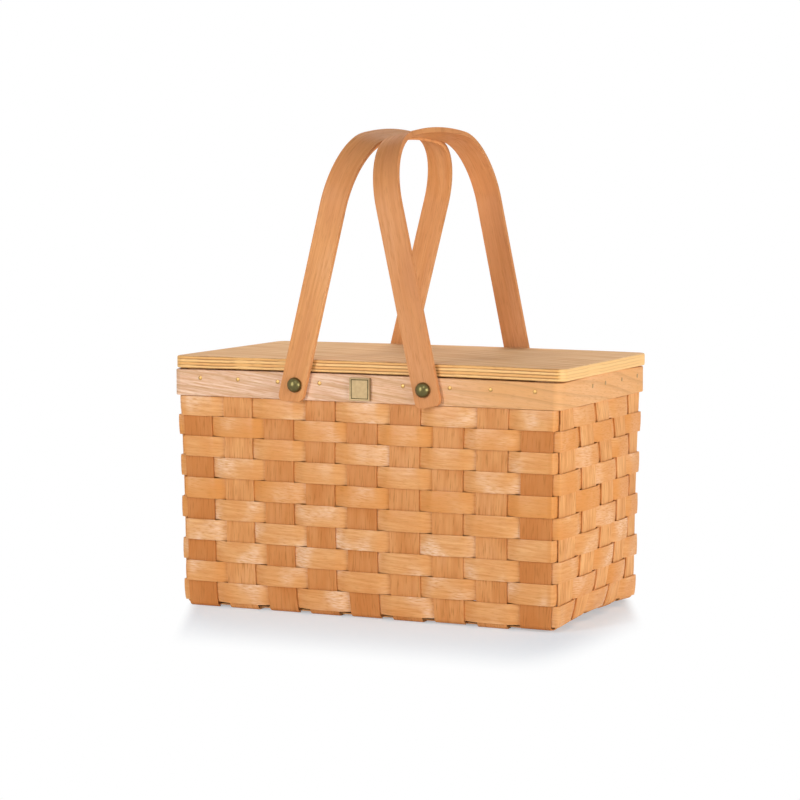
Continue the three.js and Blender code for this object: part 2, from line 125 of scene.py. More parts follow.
def number(name, description, default):
    """A plain number that a user may change."""
    return FloatProperty(name=name, description=description, default=default, precision=3)


def angle(name, description, degrees):
    """An angle that a user may change."""
    default = math.radians(degrees)
    return FloatProperty(name=name, description=description, default=default, subtype="ANGLE")


def power(name, description, default):
    """The power of a lamp in watts."""
    return FloatProperty(name=name, description=description, default=default, unit="POWER")


def colour(name, description, red, green, blue):
    """A colour that a user may change, given as it looks on a screen."""
    default = srgb(red, green, blue)
    return FloatVectorProperty(
        name=name, description=description, default=default, size=3, min=0, max=1, subtype="COLOR")


class WeaveSizes(bpy.types.PropertyGroup):
    """Sizes of the splints and of the walls that they make."""

    splint: length("Splint thickness", "Thickness of every upright and weaver", 0.0014)
    bow: length("Weaver bow", "From the middle of an upright out to the weaver over it", 0.0021)
    bow_spread: length("Bow spread", "How much that bow differs from crossing to crossing", 0.0005)
    bow_flatness: number("Bow flatness", "How flat a weaver lies where it crosses an upright", 2.4)
    cup: length("Weaver cup", "How far a weaver's middle stands out beyond its two edges", 0.0004)
    wobble: length("Row wobble", "How far a weaver strays up and down along its row", 0.0004)
    edge_round: length("Splint edge", "Rounding of a splint's edges", 0.00028)
    floor_bend: length("Floor bend", "Radius at which an upright turns under, at mid thickness", 0.004)
    taper_x: length("End lean", "How far each end wall leans in from rim to floor", 0.003)
    taper_y: length("Side lean", "How far the front and back walls lean in from rim to floor", 0.004)
    end_bulge: length("End bulge", "How far the middle of each end wall stands out at mid height", 0.0085)
    side_bulge: length("Side bulge", "How far the front's and back's middle stands out halfway up", 0.0035)
    end_draw: length("End pull", "How far the middle of each end wall is pulled in at the floor", 0.005)
    side_draw: length("Side pull", "How far the front's and back's middle is pulled in at the floor", 0.004)
    draw_height: length("Pull height", "Height over which that pull fades out", 0.040)
    corner_draw: number("Corner pull", "Share of that pull that is left at the corners", 0.3)
    corner_pinch: length("Corner pinch", "How far the corners are pulled in at mid height", 0.0014)
    end_lift: length("End lift", "How far the rows rise at the middle of each end", 0.0028)
    lift_fade: length("Lift fade", "Below the rim, over which that rise fades out", 0.06)
    foot_lift: length("Foot lift", "How far the foot of the last upright on the right rises", 0.0018)
    row_lift: length("Row lift", "How far the rows above mid height lie above their even spacing", 0.0016)
    seat_gap: length("Seat gap", "Between the uprights and the inner rim band", 0.0003)


class TrimSizes(bpy.types.PropertyGroup):
    """Sizes of the rim, the lid and the metal parts."""

    rim_edge: length("Rim edge", "Rounding of the rim bands' edges", 0.0009)
    rim_corner: length("Rim corner", "Outside corner radius of the outer rim band", 0.009)
    rim_outer: length("Outer rim", "Thickness of the outer rim band", 0.003)
    rim_crown: length("Rim crown", "How far the rim's upper edge rises and falls along each wall", 0.0006)
    rim_inner: length("Inner rim", "Thickness of the inner rim band", 0.003)
    rim_inner_corner: length("Inner rim corner", "Corner radius of the inner band at mid thickness", 0.0025)
    lid_corner: length("Lid corner", "Corner radius of the lid seen from above", 0.010)
    lid_edge: length("Lid edge", "Rounding of the lid's upper and lower edges", 0.0016)
    lid_shift: length("Lid shift", "How far right of the middle the lid lies, within its play", 0.0012)
    lid_bow: length("Lid bow", "How far the lid's middle rises and its ends fall", 0.0005)
    lid_stand: length("Lid stand", "How far the lid's underside stands off its rest", 0.0006)
    lid_swell: length("Lid swell", "How much thicker the lid is than its plain board", 0.0006)
    batten_edge: length("Batten edge", "Rounding of the battens under the lid", 0.0012)
    tack: length("Tack head", "Diameter of a tack's head", 0.0044)
    tack_rise: length("Tack rise", "How far a tack's head stands proud", 0.0003)
    tack_stray: length("Tack stray", "How far a tack may lie above or below its line", 0.0004)
    tack_height: length("Tack height", "Height of the tacks above the lower edge of the rim", 0.0172)
    rivet_head: length("Rivet head", "Height of a rivet's domed head", 0.0065)
    rivet_shank: length("Rivet shank", "Diameter of a rivet's shank", 0.0055)
    rivet_tail: length("Rivet tail", "Height of a rivet's peened tail", 0.0016)
    rivet_tail_width: length("Rivet tail width", "Diameter of a rivet's peened tail", 0.008)
    washer_hole: length("Washer hole", "Diameter of the hole in a burr washer", 0.0061)
    badge_border: length("Badge border", "Width of the badge's raised border", 0.0022)
    badge_rise: length("Badge rise", "How far that border stands above the plate", 0.0005)
    badge_groove: length("Badge groove", "Width of the groove inside that border", 0.0011)
    badge_edge: length("Badge edge", "Rounding of the badge's edges", 0.0003)


class HandleSizes(bpy.types.PropertyGroup):
    """Sizes of the bentwood straps."""

    width: length("Strap width", "Width of a handle's strap", 0.026)
    thickness: length("Strap thickness", "Thickness of a handle's strap", 0.005)
    reach: length("Reach", "From the rivets to the middle of the crown's thickness", 0.248)
    bend: length("Shoulder bend", "Radius of the bend from leg to crown, at mid thickness", 0.067)
    crown_slope: number("Crown slope", "Rise over run of the crown where it meets that bend", 0.13)
    flare: length("Leg flare", "How far each leg leans out up to the bend", 0.002)
    foot: length("Foot", "How far the strap reaches below its rivet", 0.017)
    foot_round: length("Foot corner", "Corner radius of a strap's foot", 0.006)
    left_cut: number("Left foot cut", "How far the left handle's foot is cut level, from 0 to 1", 0.9)
    right_cut: number("Right foot cut", "How far the right handle's foot is cut level, from 0 to 1", 0.1)
    offset: length("Strap offset", "How far a strap's middle lies outside its rivets", 0.0018)
    edge: length("Strap edge", "Rounding of a strap's edges", 0.0011)


class FinishColours(bpy.types.PropertyGroup):
    """Colours of the woods and metals."""

    weaver_pale: colour("Weaver, pale", "Palest streaks of the weavers", 233, 178, 120)
    weaver_deep: colour("Weaver, deep", "Darkest streaks of the weavers", 214, 148, 88)
    # also the deeper colour painted on the weavers in the ends, against their paler reflection
    weaver_flush: colour("Weaver, flush", "Warm tinge of the deeper weavers", 218, 146, 78)
    upright_pale: colour("Upright, pale", "Palest streaks of the uprights", 238, 180, 118)
    upright_deep: colour("Upright, deep", "Darkest streaks of the uprights", 218, 153, 94)
    upright_flush: colour("Upright, flush", "Red tinge of the darker uprights", 199, 127, 69)
    rim_pale: colour("Rim, pale", "Palest streaks of the rim bands", 246, 215, 188)
    rim_deep: colour("Rim, deep", "Darkest streaks of the rim bands", 208, 153, 112)
    rim_flush: colour("Rim, flush", "Warm tinge of the rim bands", 226, 166, 105)
    handle_pale: colour("Handle, pale", "Palest streaks of the handles", 228, 164, 106)
    handle_deep: colour("Handle, deep", "Darkest streaks of the handles", 208, 140, 84)
    # also the colour of the shade painted on the left handle's shoulder
    handle_flush: colour("Handle, flush", "Dull tinge of the darker parts of the handles", 198, 130, 84)
    # painted highlight: a pale colour mixed into the lacquered woods' base colour where they would catch
    # the lamps
    painted_sheen: colour("Sheen", "Where the lacquer catches the light", 250, 224, 196)
    lid_pale: colour("Lid, pale", "Palest streaks of the lid's face veneer", 255, 214, 166)
    lid_deep: colour("Lid, deep", "Dark streaks and growth lines in that veneer", 224, 167, 114)
    ply_pale: colour("Ply, pale", "The light plies at the lid's edge", 242, 194, 126)
    ply_deep: colour("Ply, deep", "The cross plies at the lid's edge", 226, 162, 86)
    glue: colour("Glue line", "The thin lines between the plies", 158, 100, 44)
    bronze: colour("Rivet bronze", "The rivets and their washers", 106, 97, 58)
    patina: colour("Patina", "The badge's dark groove", 60, 52, 26)
    brass: colour("Badge brass", "The badge's face", 168, 144, 106)
    tack_brass: colour("Tack brass", "The tacks in the rim", 184, 144, 86)
    floor: colour("Floor", "The floor under the basket", 246, 246, 248)
    floor_seen: colour("Floor, seen", "The floor as the camera sees it, under its veil", 200, 212, 225)


class StageSettings(bpy.types.PropertyGroup):
    """Where the camera stands and how the stage is lit."""

    yaw: angle("Camera turn", "How far the camera stands round to the right of the front", 24.63)
    pitch: angle("Camera tilt", "How far the camera looks down", 5.26)
    distance: length("Camera distance", "From the camera to the point that it looks at", 2.7094)
    lens: number("Focal length", "In millimetres, on a sensor 36 mm wide", 122.5)
    aim_height: length("Aim height", "Height of the point that the camera looks at", 0.2033)
    aim_side: length("Aim side", "How far that point lies right of the basket's middle", -0.01107)
    sky: number("Sky", "Strength of the even light from all round", 0.15)
    key: power("Key light", "Tall soft light from the front left", 30)
    side: power("Side light", "Soft light from the right", 41)
    back: power("Back light", "Soft light from above and behind", 33)
    glint: power("Glint light", "Small light that glints on the rivets and tacks", 5)
    veil: number("Floor veil", "White that the camera sees on top of the lit floor", 0.385)
    shade_front: length("Front shade", "How far from the front and back the floor turns plain white", 0.195)
    shade_end: length("End shade", "How far from each end the floor turns plain white", 0.065)
    shade_side: length("Shade side", "From the basket's middle across to where the shade fades", 0.21)
    shade_edge: length("Shade edge", "From the basket's middle across to where the shade is gone", 0.225)


class Wire:
    """A shader socket that can stand in sums: each operator adds a Math node to its material."""

    def __init__(self, finish, socket):
        self.finish = finish
        self.socket = socket

    def combine(self, operation, first, second):
        return self.finish.node("ShaderNodeMath", {"operation": operation}, {0: first, 1: second})

    def __add__(self, other):
        return self.combine("ADD", self, other)

    def __sub__(self, other):
        return self.combine("SUBTRACT", self, other)

    def __rsub__(self, other):
        return self.combine("SUBTRACT", other, self)

    def __mul__(self, other):
        return self.combine("MULTIPLY", self, other)

    __radd__ = __add__
    __rmul__ = __mul__

    def wrapped(self):
        """What is left after the whole numbers are taken off."""
        return self.finish.node("ShaderNodeMath", {"operation": "FRACT"}, {0: self})

    def between(self, low, high):
        """0 up to low and 1 from high, with a smooth rise between them."""
        settings = {"interpolation_type": "SMOOTHSTEP"}
        return self.finish.node("ShaderNodeMapRange", settings, {0: self, 1: low, 2: high})


class Finish:
    """The nodes of one procedural material, or of the world."""

    def __init__(self, owner):
        self.owner = owner
        owner.use_nodes = True
        self.tree = owner.node_tree
        self.tree.nodes.clear()

    def node(self, kind, settings, sockets, output=0):
        """Adds a node: its settings first, then the values or wires of its sockets."""
        made = self.tree.nodes.new(kind)
        for key, value in settings.items():
            setattr(made, key, value)
        for key, value in sockets.items():
            if isinstance(value, Wire):
                self.tree.links.new(value.socket, made.inputs[key])
            else:
                made.inputs[key].default_value = value
        return Wire(self, made.outputs[output]) if made.outputs else None

    def blend(self, factor, first, second):
        """Mixes two colours, each a wire or a plain linear colour."""
        ends = [end if isinstance(end, Wire) else (*end, 1) for end in (first, second)]
        sockets = {0: factor, 6: ends[0], 7: ends[1]}
        return self.node("ShaderNodeMix", {"data_type": "RGBA"}, sockets, output=2)

    def grain(self):
        """The strip's own map, in metres along and across its grain."""
        return self.node("ShaderNodeUVMap", {"uv_map": GRAIN}, {})

    def place(self):
        """The place in the basket's frame, in metres."""
        return self.node("ShaderNodeTexCoord", {}, {}, output="Object")

    def parts(self, vector):
        """The three parts of a vector, as numbers."""
        split = self.node("ShaderNodeSeparateXYZ", {}, {0: vector}).socket.node
        return [Wire(self, socket) for socket in split.outputs]

    def turned(self, vector, slant):
        """The vector turned about Z by so many radians."""
        return self.node("ShaderNodeMapping", {}, {"Vector": vector, "Rotation": (0, 0, slant)})

    def drawn(self, vector, along, across):
        """The vector in features, so many a metre along the grain and across it."""
        return self.node("ShaderNodeMapping", {}, {"Vector": vector, "Scale": (along, across, across)})

    def fibres(self, vector, along, across, detail=2.0, roughness=0.5):
        """Noise drawn out along the grain, with so many features a metre along it and across it."""
        drawn = self.drawn(vector, along, across)
        sockets = {"Vector": drawn, "Scale": 1.0, "Detail": detail, "Roughness": roughness}
        return self.node("ShaderNodeTexNoise", {}, sockets)

    def rings(self, vector, along, across, warp):
        """Growth lines: bands along the grain that noise bends, as a saw wave."""
        settings = {"wave_type": "BANDS", "bands_direction": "Y", "wave_profile": "SAW"}
        sockets = {
            "Vector": self.drawn(vector, along, across), "Scale": 1.0, "Distortion": warp, "Detail": 1.0,
            "Detail Scale": 0.5}
        return self.node("ShaderNodeTexWave", settings, sockets, output=1)

    def bump(self, height, distance):
        """A normal from a height of 0 to 1 that stands for the given distance."""
        return self.node("ShaderNodeBump", {}, {"Strength": 1.0, "Distance": distance, "Height": height})

    def surface(self, sockets):
        """Ends the material in a Principled shader."""
        return self.output("ShaderNodeOutputMaterial", self.node("ShaderNodeBsdfPrincipled", {}, sockets))

    def output(self, kind, shader):
        """Ends the nodes in an output and gives back the material or world."""
        self.node(kind, {}, {"Surface": shader})
        return self.owner


class Figure(NamedTuple):
    """How a wood's figure is drawn. Pairs are features a metre, along the grain and across it."""

    streak: tuple
    streak_spread: float
    patch: tuple
    patch_share: float
    ring: tuple
    ring_share: float
    pore: tuple
    pore_share: float
    slant: float
    coat: float
    # share of the painted highlight that is mixed into the base colour
    painted_sheen: float


FIGURES = {
    "weaver": Figure(
        streak=(30, 420), streak_spread=0.26, patch=(26, 24), patch_share=0.5,
        ring=(3, 40), ring_share=0.07, pore=(140, 900), pore_share=0.25,
        slant=0.05, coat=0.45, painted_sheen=0.6),
    "upright": Figure(
        streak=(14, 160), streak_spread=0.22, patch=(24, 40), patch_share=0.35,
        ring=(2, 50), ring_share=0.1, pore=(60, 700), pore_share=0.6,
        slant=0.03, coat=0.15, painted_sheen=0.1),
    "rim": Figure(
        streak=(25, 600), streak_spread=0.28, patch=(14, 30), patch_share=0.15,
        ring=(8, 24), ring_share=0.4, pore=(120, 800), pore_share=0.35,
        slant=0.12, coat=0.12, painted_sheen=0.35),
    "handle": Figure(
        streak=(8, 380), streak_spread=0.3, patch=(10, 40), patch_share=0.35,
        ring=(1.2, 45), ring_share=0.06, pore=(70, 1000), pore_share=0.35,
        slant=0.02, coat=0.1, painted_sheen=0.1),
}
LINE_SHADE = 0.7  # how dark growth lines and pores are beside the wood's warm tinge


def lacquered_wood(kind, colours):
    """The wood of one kind of strip, whose grain follows the strip that it is on, with a painted highlight
    in its colour.
    """
    figure = FIGURES[kind]
    pale, deep, flush = (tuple(getattr(colours, f"{kind}_{shade}")) for shade in ("pale", "deep", "flush"))
    dark = tuple(part * LINE_SHADE for part in flush)
    finish = Finish(bpy.data.materials.new(f"{kind}_wood"))
    grain = finish.turned(finish.grain(), figure.slant)
    tone = finish.node("ShaderNodeAttribute", {"attribute_name": TONE}, {}, output="Fac")
    streaks = finish.fibres(grain, *figure.streak, detail=4, roughness=0.6)
    patches = finish.fibres(grain, *figure.patch, detail=1)
    pores = finish.fibres(grain, *figure.pore, detail=2)
    rings = finish.rings(grain, *figure.ring, warp=7.0)
    smooth = pores.between(0.75, 0.3)  # 1 between the pores, where the lacquer lies even
    base = finish.blend(streaks.between(0.5 - figure.streak_spread, 0.5 + figure.streak_spread), pale, deep)
    base = finish.blend(tone + patches.between(0.45, 0.75) * figure.patch_share, base, flush)
    base = finish.blend(rings.between(0.6, 1.0) * figure.ring_share, base, dark)
    base = finish.blend(pores.between(0.52, 0.72) * figure.pore_share, base, dark)
    # painted highlight: pale patches between the pores stand for the lamps' reflection in the lacquer and
    # are mixed into the base colour
    painted_highlight = patches.between(0.5, 0.3) * smooth * (1 - tone) * figure.painted_sheen
    base = finish.blend(painted_highlight, base, tuple(colours.painted_sheen))
    return finish.surface({
        "Base Color": base,
        "Roughness": 0.6 - streaks * 0.1,
        "Specular IOR Level": 0.0,
        "Coat Weight": (smooth * 0.7 + 0.3) * figure.coat,
        "Coat Roughness": 0.28,
        "Normal": finish.bump(pores * 0.6 + streaks * 0.4, distance=0.0001),
    })


def lid_veneer(colours):
    """The lid's face veneer, with open oak-like pores that slant across the board."""
    finish = Finish(bpy.data.materials.new("lid_veneer"))
    grain = finish.turned(finish.place(), slant=0.3)
    streaks = finish.fibres(grain, along=7, across=200, detail=4, roughness=0.6)
    rings = finish.rings(grain, along=2.2, across=22, warp=3.0)
    pores = finish.fibres(grain, along=60, across=1200, detail=1)
    base = finish.blend(streaks.between(0.3, 0.75), tuple(colours.lid_pale), tuple(colours.lid_deep))
    base = finish.blend(rings.between(0.5, 1.0) * 0.3, base, tuple(colours.lid_deep))
    return finish.surface({
        "Base Color": base,
        "Roughness": 0.6,
        "Specular IOR Level": 0.0,
        "Coat Weight": 0.08,
        "Coat Roughness": 0.4,
        "Normal": finish.bump(pores, distance=0.0001),
    })


def ply_edge(colours, low, thickness, rise, half):
    """The lid's edge, with its plies and the thin lines between them, which are faint at its two ends.

    Rise gives the board's bow at x, and half is half of its length.
    """
    faint = 0.25
    fade = (half - 0.002, half - 0.006)
    finish = Finish(bpy.data.materials.new("ply_edge"))
    place = finish.place()
    x, _, z = finish.parts(place)
    stray = finish.fibres(place, along=26, across=26, detail=2)
    level = (z - low - rise(x)) * (PLIES / thickness) + stray * 0.5 - 0.25
    within = level.wrapped()
    line = within.between(0.24, 0.08) + within.between(0.76, 0.92)
    cross = (level * 0.5).wrapped().between(0.46, 0.54)
    speckle = finish.fibres(place, along=140, across=1100, detail=3)
    side = (x * x).between(fade[0] ** 2, fade[1] ** 2) * (1 - faint) + faint
    base = finish.blend(cross * side * 0.6, tuple(colours.ply_pale), tuple(colours.ply_deep))
    base = finish.blend(speckle.between(0.45, 0.8) * side * 0.35, base, tuple(colours.glue))
    base = finish.blend(line * stray.between(0.25, 0.5) * side * 0.9, base, tuple(colours.glue))
    return finish.surface({
        "Base Color": base,
        "Roughness": 0.5,
        "Specular IOR Level": 0.3,
        "Normal": finish.bump(1 - line * 0.5 + speckle * 0.4, distance=0.0002),
    })


def polished_metal(name, tint, roughness):
    """Metal rubbed smooth, with a slight cloudiness."""
    finish = Finish(bpy.data.materials.new(name))
    cloud = finish.fibres(finish.place(), along=300, across=300, detail=3)
    cloudy = tuple(share * 0.7 for share in tint)
    return finish.surface({
        "Base Color": finish.blend(cloud.between(0.3, 0.7) * 0.4, tuple(tint), cloudy),
        "Metallic": 0.85,
        "Roughness": roughness + cloud * 0.1,
    })


class Station(NamedTuple):
    """One place along a strip: its middle, the way across the strip, and half the width there."""

    middle: Vector
    across: Vector
    half: float


def strip(stations, rows, seed, closed=False, cup=0.0):
    """A strip through its stations, with its grain map in metres. Its middle stands out by the cup."""
    shape = bmesh.new()
    grain = shape.loops.layers.uv.new(GRAIN)
    last = len(stations) - 1
    bmesh.ops.create_grid(shape, x_segments=last, y_segments=rows, size=0.5)
    travel = [0.0]
    for before, after in zip(stations, stations[1:]):
        travel.append(travel[-1] + (after.middle - before.middle).length)
    draw = random.Random(seed)
    start = Vector((draw.uniform(0, 3), draw.uniform(0, 2)))
    for face in shape.faces:
        for corner in face.loops:
            column = round((corner.vert.co.x + 0.5) * last)
            aside = 2 * corner.vert.co.y * stations[column].half
            corner[grain].uv = start + Vector((travel[column], aside))
    for vert in shape.verts:
        k = round((vert.co.x + 0.5) * last)
        station = stations[k]
        share = 2 * vert.co.y
        along = stations[min(k + 1, last)].middle - stations[max(k - 1, 0)].middle
        out = along.cross(station.across).normalized()
        vert.co = station.middle + station.across * (share * station.half) + out * (cup * (1 - share**2))
    if closed:
        bmesh.ops.remove_doubles(shape, verts=shape.verts, dist=MERGE)
    return shape


def add_object(name, shape, finishes):
    """Turns a shape into a smooth object at the origin."""
    mesh = bpy.data.meshes.new(name)
    shape.to_mesh(mesh)
    shape.free()
    mesh.shade_smooth()
    for finish in finishes:
        mesh.materials.append(finish)
    made = bpy.data.objects.new(name, mesh)
    bpy.context.scene.collection.objects.link(made)
    return made


def add_piece(name, shape, finishes, body, nodes=()):
    """Turns a shape into a piece that rides on a body and stands for the given nodes."""
    piece = add_object(name, shape, finishes)
    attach(piece, body)
    if nodes:
        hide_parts(*nodes)
    return piece


def keep_flat(piece):
    """Keeps a piece's flat faces flat in the light."""
    normals = piece.modifiers.new("flat faces", "WEIGHTED_NORMAL")
    normals.keep_sharp = True


def soften(piece, rounding, segments):
    """Rounds a piece's sharp edges and keeps its flat faces flat."""
    bevel = piece.modifiers.new("rounded edges", "BEVEL")
    bevel.width = rounding
    bevel.segments = segments
    bevel.limit_method = "ANGLE"
    bevel.angle_limit = CREASE
    bevel.profile = 0.5
    keep_flat(piece)


def thicken(piece, thickness, rounding, segments):
    """Gives a strip its thickness, half to each side, and rounds its edges."""
    wall = piece.modifiers.new("thickness", "SOLIDIFY")
    wall.thickness = thickness
    wall.offset = 0
    wall.use_even_offset = True
    soften(piece, rounding, segments)


def set_tone(piece, tone_at):
    """Stores how deep the piece's colour is at each of its vertices."""
    layer = piece.data.attributes.new(TONE, "FLOAT", "POINT")
    layer.data.foreach_set("value", [tone_at(vert.co) for vert in piece.data.vertices])


def arc(centre_x, centre_y, radius, start, end, steps):
    """Points on an arc between two angles in degrees, ends included."""
    turns = [math.radians(start + (end - start) * k / steps) for k in range(steps + 1)]
    return [Vector((centre_x + radius * math.cos(t), centre_y + radius * math.sin(t))) for t in turns]


def spaced(first, last, steps):
    """Evenly spaced points from first up to, but without, last."""
    return [first.lerp(last, k / steps) for k in range(steps)]


class WeavePlan:
    """Where the uprights and walls stand in the frame, before the walls are leaned in."""

    def __init__(self, sizes):
        self.sizes = sizes
        half = sizes.splint / 2
        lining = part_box("inner_rim")[1]
        self.wall_x = lining.x + sizes.seat_gap + half
        self.wall_y = lining.y + sizes.seat_gap + half
        self.long_places, self.width = self.uprights("long_upright_", 0)
        self.end_places, _ = self.uprights("end_upright_", 1)
        self.upright_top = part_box("long_upright_1")[1].z
        self.rim_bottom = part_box("outer_rim")[0].z
        self.floor_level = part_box("long_upright_1")[0].z + half
        self.floor_step = self.floor_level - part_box("end_upright_1")[0].z - half

    @staticmethod
    def uprights(prefix, axis):
        """The middle of each upright along one axis, and the width of an upright."""
        count = sum(name.startswith(prefix) for name in frame["nodes"])
        low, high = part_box(f"{prefix}{(count + 1) // 2}")
        width = high[axis] - low[axis]
        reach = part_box(f"{prefix}{count}")[1][axis] - width / 2
        return [reach * (2 * k / (count - 1) - 1) for k in range(count)], width

    def wave(self, distance, pitch):
        """Share of a splint's full offset at a distance along it from a crossing's middle."""
        flat = self.sizes.bow_flatness
        return math.tanh(flat * math.cos(math.pi * distance / pitch)) / math.tanh(flat)

    def lean_in(self, shape):
        """Leans the walls in, bows them out halfway up, draws in their lower edges and lifts the rows."""
        sizes = self.sizes
        for vert in shape.verts:
            x, y, z = vert.co
            pull_x = self.pull(z, y / self.wall_y, sizes.taper_x, sizes.end_bulge, sizes.end_draw)
            pull_y = self.pull(z, x / self.wall_x, sizes.taper_y, sizes.side_bulge, sizes.side_draw)
            vert.co.x = x * (1 - pull_x / self.wall_x)
            vert.co.y = y * (1 - pull_y / self.wall_y)
            vert.co.z += self.lift(z, x / self.wall_x, y / self.wall_y)

    def pull(self, height, along, taper, bulge, draw):
        """How far in a wall lies at a height. Along is 0 at the wall's middle and 1 at its corners."""
        rise = height / self.rim_bottom
        lean = max(0, 1 - rise)
        arch = max(0, math.sin(math.pi * rise))
        low = max(0, 1 - height / self.sizes.draw_height) ** 2
        fade = min(1, along**2)
        kept = 1 - (1 - self.sizes.corner_draw) * fade
        swell = bulge * (1 - fade) - self.sizes.corner_pinch * fade
        return taper * lean - swell * arch + draw * low * kept

    def lift(self, height, share_x, share_y):
        """How far up the rows lie at a height, from the shares of the way out to the walls."""
        sizes = self.sizes
        square_x, square_y = min(1, share_x**2), min(1, share_y**2)
        below_rim = max(0, self.rim_bottom - height)
        ends = sizes.end_lift * square_x * (1 - square_y) * min(1, below_rim / sizes.lift_fade)
        return ends + sizes.row_lift * math.sin(math.pi * min(1, height / self.rim_bottom) ** 2)


def upright_line(plan, wall, level, floor):
    """One upright as (across, height) points: down a wall, across the floor and up the far wall."""
    bend = plan.sizes.floor_bend
    inset = wall - bend
    top = Vector((-wall, plan.upright_top))
    foot = Vector((-wall, level + bend))
    far_top = Vector((wall, plan.upright_top))
    far_foot = Vector((wall, level + bend))
    wall_steps = 40
    bend_steps = 6
    return [
        *spaced(top, foot, wall_steps),
        *arc(-inset, foot.y, bend, 180, 270, bend_steps),
        *floor,
        *arc(inset, far_foot.y, bend, 270, 360, bend_steps)[:-1],
        *spaced(far_foot, far_top, wall_steps),
        far_top,
    ]


def level_floor(plan, crossed):
    """The end uprights lie level in the floor, under or over those that they cross."""
    reach = crossed[-1] + plan.width / 2
    steps = 60
    return [Vector((reach * (2 * k / steps - 1), plan.floor_level)) for k in range(steps + 1)]


def woven_floor(plan, crossed, first):
    """The long uprights go over and under the end ones. First is 1 where they start over, or -1."""
    pitch = crossed[1] - crossed[0]
    steps = 12
    points = []
    for k, place in enumerate(crossed):
        step = plan.floor_step * first * (-1) ** k
        for s in range(steps):
            aside = pitch * (s / steps - 0.5)
            beyond = abs(place + aside) > crossed[-1]
            share = 1 if beyond else plan.wave(aside, pitch)
            if abs(place + aside) <= crossed[-1] + plan.width / 2:
                points.append(Vector((place + aside, plan.floor_level + step * share)))
    return points


class BASKET_OT_uprights(bpy.types.Operator):
    """Makes the upright splints, which come down the walls and cross in the floor"""

    bl_idname = "basket.uprights"
    bl_label = "Uprights"

    def execute(self, context):
        sizes = context.scene.basket_weave
        plan = WeavePlan(sizes)
        wood = lacquered_wood("upright", context.scene.basket_colours)
        half = plan.width / 2
        for k, place in enumerate(plan.long_places):
            first = 1 if k % 2 == 0 else -1
            level = plan.floor_level - plan.floor_step
            if first > 0:
                level += sizes.foot_lift * (k / (len(plan.long_places) - 1)) ** 2
            line = upright_line(plan, plan.wall_y, level, woven_floor(plan, plan.end_places, first))
            stations = [Station(Vector((place, p.x, p.y)), X_AXIS, half) for p in line]
            self.add(plan, wood, "long", k, stations, LONG_TONES[k % len(LONG_TONES)])
        for k, place in enumerate(plan.end_places):
            line = upright_line(plan, plan.wall_x, plan.floor_level, level_floor(plan, plan.long_places))
            stations = [Station(Vector((p.x, place, p.y)), Y_AXIS, half) for p in line]
            self.add(plan, wood, "end", k, stations, END_TONES[k % len(END_TONES)])
        return {"FINISHED"}

    @staticmethod
    def add(plan, wood, kind, k, stations, tone):
        """Adds the upright that goes through the given stations."""
        shape = strip(stations, STRIP_ROWS, f"{kind} upright {k}")
        plan.lean_in(shape)
        name = f"{kind}_splint_{k + 1}"
        piece = add_piece(name, shape, [wood], "basket", [f"{kind}_upright_{k + 1}"])
        set_tone(piece, lambda _: tone)
        thicken(piece, plan.sizes.splint, plan.sizes.edge_round, segments=2)


